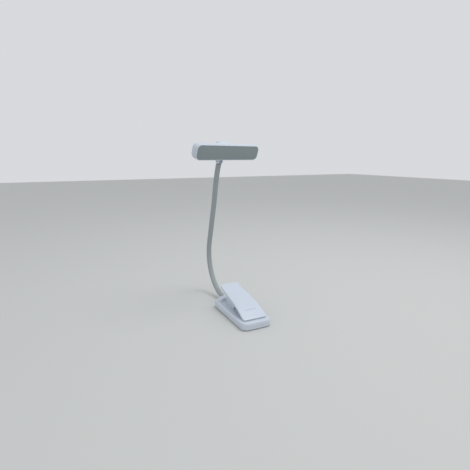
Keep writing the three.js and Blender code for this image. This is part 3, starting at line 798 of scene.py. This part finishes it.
def makePivotPin():
    # a straight pin with eased ends, which sit blind in the bracket's walls
    half, radius = base["pinHalf"], base["pinRadius"]
    ease = 0.3
    outline = [(radius - ease, -half), (radius, -half + ease), (radius, half - ease), (radius - ease, half)]
    pin = turnedPiece("pivotPin", outline, 40)
    moveInto(pin, Matrix.Translation(pivot * mm) @ Matrix.Rotation(math.pi / 2, 4, "Y"))
    return pin


def makeBaseScrew(name, node):
    # a pan head screw seen from below, with a crossed recess
    low, high = (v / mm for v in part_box(node))
    x, y = (low.x + high.x) / 2, (low.y + high.y) / 2
    outline = [
        (1.2, low.z), (1.8, low.z + 0.12), (1.98, low.z + 0.4), (1.98, low.z + 1.0),
        (0.9, low.z + 1.0), (0.9, high.z),
    ]
    screw = turnedPiece(name, outline, 32)
    moveInto(screw, Matrix.Translation((x * mm, y * mm, 0)))
    for w, l in ((0.22, 1.15), (1.15, 0.22)):
        cross = addBlock("cross", (x - w, y - l, low.z - 1), (x + w, y + l, low.z + 0.6))
        cutAway(screw, cross)
    return screw


finishPiece(makePivotPin(), "base", materials["zincSteel"], ["pivot_pin"])
for i in range(1, 5):
    node = f"base_screw_{i}"
    finishPiece(makeBaseScrew(f"baseScrew{i}", node), "base", materials["zincSteel"], [node])
print("pins and screws made")


# neck

neck = {
    "radius": 3.5, "bendY": 53.0, "axisZ": 6.2, "lowerRadius": 52.0, "upperRadius": 60.0, "topLength": 114.8,
    "swayLength": 60.0, "swayOffset": -0.3, "sides": 40, "step": 2.0, "turnReach": 17.0,
}
neckLean = math.atan2(-headZ.y, headZ.z)
lowerArc = neck["lowerRadius"] * math.pi / 2
upperArc = neck["upperRadius"] * neckLean
neckLength = lowerArc + upperArc + neck["topLength"]


def neckPoint(s):
    # the neck's line by distance from where it starts to bend
    y, z = neck["bendY"], neck["axisZ"]
    lower, upper = neck["lowerRadius"], neck["upperRadius"]
    if s <= 0:
        y += s
    elif s <= lowerArc:
        y += lower * math.sin(s / lower)
        z += lower * (1 - math.cos(s / lower))
    else:
        turn = min((s - lowerArc) / upper, neckLean)
        rest = max(s - lowerArc - upperArc, 0)
        y += lower - upper * (1 - math.cos(turn)) - rest * math.sin(neckLean)
        z += lower + upper * math.sin(turn) + rest * math.cos(neckLean)
    u = max((s - (neckLength - neck["swayLength"])) / neck["swayLength"], 0)
    x = neck["swayOffset"] * (3 * u * u - 2 * u**3) + headZ.x * neck["swayLength"] * (u**3 - u * u)
    return Vector((x, y, z))


def neckDirection(s):
    return (neckPoint(s + 0.01) - neckPoint(s - 0.01)).normalized()


def sweepNeck(name, start, end):
    # a ring is extruded along the neck's line and turned with it, step by step
    clearSelection()
    way = neckDirection(start)
    bpy.ops.mesh.primitive_circle_add(
        vertices=neck["sides"],
        radius=neck["radius"] * mm,
        location=neckPoint(start) * mm,
        rotation=way.to_track_quat("Z", "X").to_euler(),
        fill_type="NGON",
    )
    sleeve = bpy.context.object
    sleeve.name = name
    bpy.ops.object.transform_apply(location=True, rotation=True, scale=True)
    bpy.ops.object.mode_set(mode="EDIT")
    bpy.ops.mesh.select_all(action="SELECT")
    steps = max(2, round((end - start) / neck["step"]))
    place = neckPoint(start)
    for i in range(1, steps + 1):
        s = start + (end - start) * i / steps
        nextPlace, nextWay = neckPoint(s), neckDirection(s)
        bpy.ops.mesh.extrude_region_move(TRANSFORM_OT_translate={"value": (nextPlace - place) * mm})
        mesh = bmesh.from_edit_mesh(sleeve.data)
        ring = [v for v in mesh.verts if v.select]
        turn = way.rotation_difference(nextWay).to_matrix()
        bmesh.ops.rotate(mesh, verts=ring, cent=nextPlace * mm, matrix=turn)
        bmesh.update_edit_mesh(sleeve.data)
        place, way = nextPlace, nextWay
    leaveEdit()
    return sleeve


def nearestOnNeck(point):
    # how far along the neck's line a joint lies
    return min((neckLength * i / 4000 for i in range(4001)), key=lambda s: (neckPoint(s) - point).length)


def makeNeckSleeve():
    # one length of sleeve runs through each joint; they meet midway between the joints
    bends = [nearestOnNeck(jointPlace(f"neck_bend_{i}")) for i in range(1, 6)]
    low, high = (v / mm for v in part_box("neck_sleeve_0"))
    starts = [low.y - neck["bendY"]] + [(a + b) / 2 for a, b in zip(bends, bends[1:])]
    ends = starts[1:] + [neckLength]
    for i, bend in enumerate(bends):
        sleeve = sweepNeck(f"neckSleeve{i + 1}", starts[i], ends[i])
        replaced = [f"neck_sleeve_{i + 1}"] + (["neck_sleeve_0"] if i == 0 else [])
        finishPiece(sleeve, None, materials["neckGreyAndKnuckleShade"], replaced, angle=50)
        reach = min(neck["turnReach"], ends[i] - bend, bend - starts[i])
        start, end = neckPoint(bend - reach), neckPoint(bend + reach)
        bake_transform(sleeve)


def makeGland():
    # the strain relief: a collar at the base's back and a cone with shallow rings
    low, high = (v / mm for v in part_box("neck_gland"))
    back = base["half"][1]
    outline = [
        (4.2, back - 4), (4.2, back + 0.25), (4.75, back + 0.3),
        (5.0, back + 0.55), (5.0, back + 1.9), (4.8, back + 2.1),
    ]
    rings = 4
    pitch = (high.y - back - 3.0) / rings
    for i in range(rings):
        y = back + 2.3 + i * pitch
        radius = 4.85 - 0.16 * i
        outline += [
            (radius - 0.35, y), (radius - 0.35, y + 0.35),
            (radius, y + 0.6), (radius - 0.06, y + pitch - 0.2),
        ]
    outline += [(4.1, high.y - 0.15), (3.85, high.y), (3.62, high.y), (3.62, back - 4)]
    gland = turnedPiece("neckGland", outline, 56)
    centre = Vector((0, 0, neck["axisZ"])) * mm
    moveInto(gland, Matrix.Translation(centre) @ Matrix.Rotation(-math.pi / 2, 4, "X"))
    return gland


makeNeckSleeve()
finishPiece(makeGland(), "base", materials["paleShell"], ["neck_gland"])
print("neck made")


# head, drawn in its own frame and then carried into place

head = {
    "half": (50.2, 9.8), "front": -17.0, "bezelBack": -13.6, "back": -4.6, "middle": 16.0, "corner": 6.6,
    "frontEase": 0.7, "backEase": 3.2, "rim": 0.9, "recess": 1.6, "seam": 0.2, "turretHalf": 9.0,
    "turretFront": -6.0, "turretBack": 6.0, "turretCorner": 5.0, "turretLow": 6.4, "turretTop": 26.1,
    "turretEase": 4.2, "turretWall": 1.5, "buttonRadius": 4.2, "buttonZ": 17.0, "buttonGap": 0.35,
    "earInner": 1.84, "earThick": 1.6, "earRadius": 3.8, "tongueHalf": 1.2, "pinHole": 1.5,
    "washer": 0.4, "washerRadius": 3.0, "washerGap": 0.12, "drop": 7.6,
}


def barBlock(name, inset, front, back):
    x, z = head["half"]
    middle = head["middle"]
    return roundedBlock(
        name,
        (-x + inset, front, middle - z + inset),
        (x - inset, back, middle + z - inset),
        head["corner"] - inset,
        "y",
        14,
    )


def cutTiltHole(piece):
    # the hole for the tilt screw, through an ear, the tongue or a washer
    cutAway(piece, addRod("hole", "x", -9, 9, head["pinHole"], (0, 0), 32))


def makeBezel():
    bezel = barBlock("headBezel", 0, head["front"], head["bezelBack"])
    roundEdges(bezel, atLevel("y", head["front"]), head["frontEase"], 6)
    room = barBlock("room", head["rim"], head["front"] - 3, head["front"] + head["recess"])
    cutAway(bezel, room)
    softenEdges(bezel, 0.12, 2, 50)
    return bezel


def makeDiffuser():
    gap = 0.12
    front = head["front"] + 0.2
    panel = barBlock("diffuser", head["rim"] + gap, front, head["front"] + head["recess"] - 0.05)
    roundEdges(panel, atLevel("y", front), 0.3, 3)
    return panel


def makeBackShell():
    shell = barBlock("headBackShell", 0, head["bezelBack"] + head["seam"], head["back"])
    roundEdges(shell, atLevel("y", head["back"]), head["backEase"], 9)
    half, low, top = head["turretHalf"], head["turretLow"], head["turretTop"]
    turret = roundedBlock(
        "turret", (-half, head["turretFront"], low), (half, head["turretBack"], top),
        head["turretCorner"], segments=12,
    )
    roundEdges(turret, atLevel("z", top), head["turretEase"], 7)
    roundEdges(turret, atLevel("z", low), 0.5, 3)
    joinOn(shell, turret)
    wellRadius = head["buttonRadius"] + head["buttonGap"]
    back = head["turretBack"]
    well = addRod("well", "y", back - 3, back + 5, wellRadius, (0, head["buttonZ"]), 64)
    cutAway(shell, well)
    for side in (-1, 1):
        inner, outer = sorted((side * head["earInner"], side * (head["earInner"] + head["earThick"])))
        radius = head["earRadius"]
        ear = addBlock("ear", (inner, -radius, -radius), (outer, radius, low + 1.4))
        roundEdges(ear, lambda a, b: alongAxis("x")(a, b) and a.z < 0, radius - 0.02, 14)
        editEdges(ear, lambda a, b: alongAxis("x")(a, b) and a.z > low and a.y > 0)
        bpy.ops.transform.translate(value=(0, (head["turretBack"] - 0.8 - radius) * mm, 0))
        leaveEdit()
        cutTiltHole(ear)
        softenEdges(ear, 0.3, 3, 50)
        joinOn(shell, ear)
    return shell


def makeKnuckle():
    half, drop = head["tongueHalf"], head["drop"]
    foot = turnedPiece(
        "knuckle",
        [
            (2.1, -drop - 6.5), (2.1, -drop + 0.1), (3.5, -drop + 0.12), (3.58, -drop + 0.2),
            (3.58, -4.5), (3.3, -4.25), (2.4, -4.2),
        ],
        48,
    )
    tongue = addRod("tongue", "x", -half, half, head["earRadius"] - 0.3, (0, 0), 56)
    waist = addBlock("waist", (-half, -2.8, -5.2), (half, 2.8, 0))
    joinOn(tongue, waist)
    cutTiltHole(tongue)
    softenEdges(tongue, 0.25, 3, 50)
    joinOn(foot, tongue)
    return foot


def makeTiltScrew():
    end = head["earInner"] + head["earThick"]
    outline = [
        (0.9, -end + 0.35), (1.2, -end + 0.6), (1.2, end + 0.3), (2.1, end + 0.3),
        (2.3, end + 0.5), (2.2, end + 0.85), (1.8, end + 1.1), (0.8, end + 1.2),
    ]
    screw = turnedPiece("tiltScrew", outline, 48)
    moveInto(screw, Matrix.Rotation(math.pi / 2, 4, "Y"))
    for w, l in ((0.24, 1.3), (1.3, 0.24)):
        cross = addBlock("cross", (end + 0.65, -w, -l), (end + 3, w, l))
        cutAway(screw, cross)
    return screw


def makeWasher(name, side):
    near = head["tongueHalf"] + head["washerGap"]
    inner, outer = sorted((side * near, side * (near + head["washer"])))
    washer = addRod(name, "x", inner, outer, head["washerRadius"], (0, 0), 48)
    cutTiltHole(washer)
    softenEdges(washer, 0.08, 2, 50)
    return washer


def makeButton():
    # a domed cap with a shallow finger dish, facing out of the turret's back
    back = head["turretBack"]
    wall = back - head["turretWall"]
    radius = head["buttonRadius"]
    outline = [
        (radius + 0.9, wall - 1.1), (radius + 0.9, wall - 0.5), (radius, wall - 0.45), (radius, back + 0.1)
    ]
    ease, rise, steps = 1.1, 0.8, 8
    for i in range(1, steps + 1):
        turn = i / steps * math.pi / 2
        outline.append((radius - ease + ease * math.cos(turn), back + 0.1 + rise * math.sin(turn)))
    outline += [(radius * 0.55, back + 0.78), (radius * 0.3, back + 0.66), (0.1, back + 0.62)]
    button = turnedPiece("powerButton", outline, 64)
    upright = Matrix.Translation((0, 0, head["buttonZ"] * mm)) @ Matrix.Rotation(-math.pi / 2, 4, "X")
    moveInto(button, upright)
    return button


headPieces = [
    (makeBackShell, (), "head", "white_shell", "paleShell", "head_back_shell"),
    (makeBezel, (), "head", "white_shell", "paleShell", "head_bezel"),
    (makeDiffuser, (), "head", "diffuser", "frostedPanelShade", "diffuser"),
    # the knuckle wears the neck's darker grey as painted shade, for the head's shadow that falls on it
    (makeKnuckle, (), "knuckle", "neck_sleeve", "neckGreyAndKnuckleShade", "knuckle"),
    (makeTiltScrew, (), "head", "steel", "zincSteel", "tilt_screw"),
    (makeWasher, ("washerLeft", -1), "head", "steel", "zincSteel", "friction_washer_left"),
    (makeWasher, ("washerRight", 1), "head", "steel", "zincSteel", "friction_washer_right"),
    (makeButton, (), "button", "white_shell", "paleLever", "power_button"),
]
for maker, words, body, slotName, finish, node in headPieces:
    made = maker(*words)
    moveInto(made, headFrame)
    finishPiece(made, body, materials[finish], [node])
print("head made")
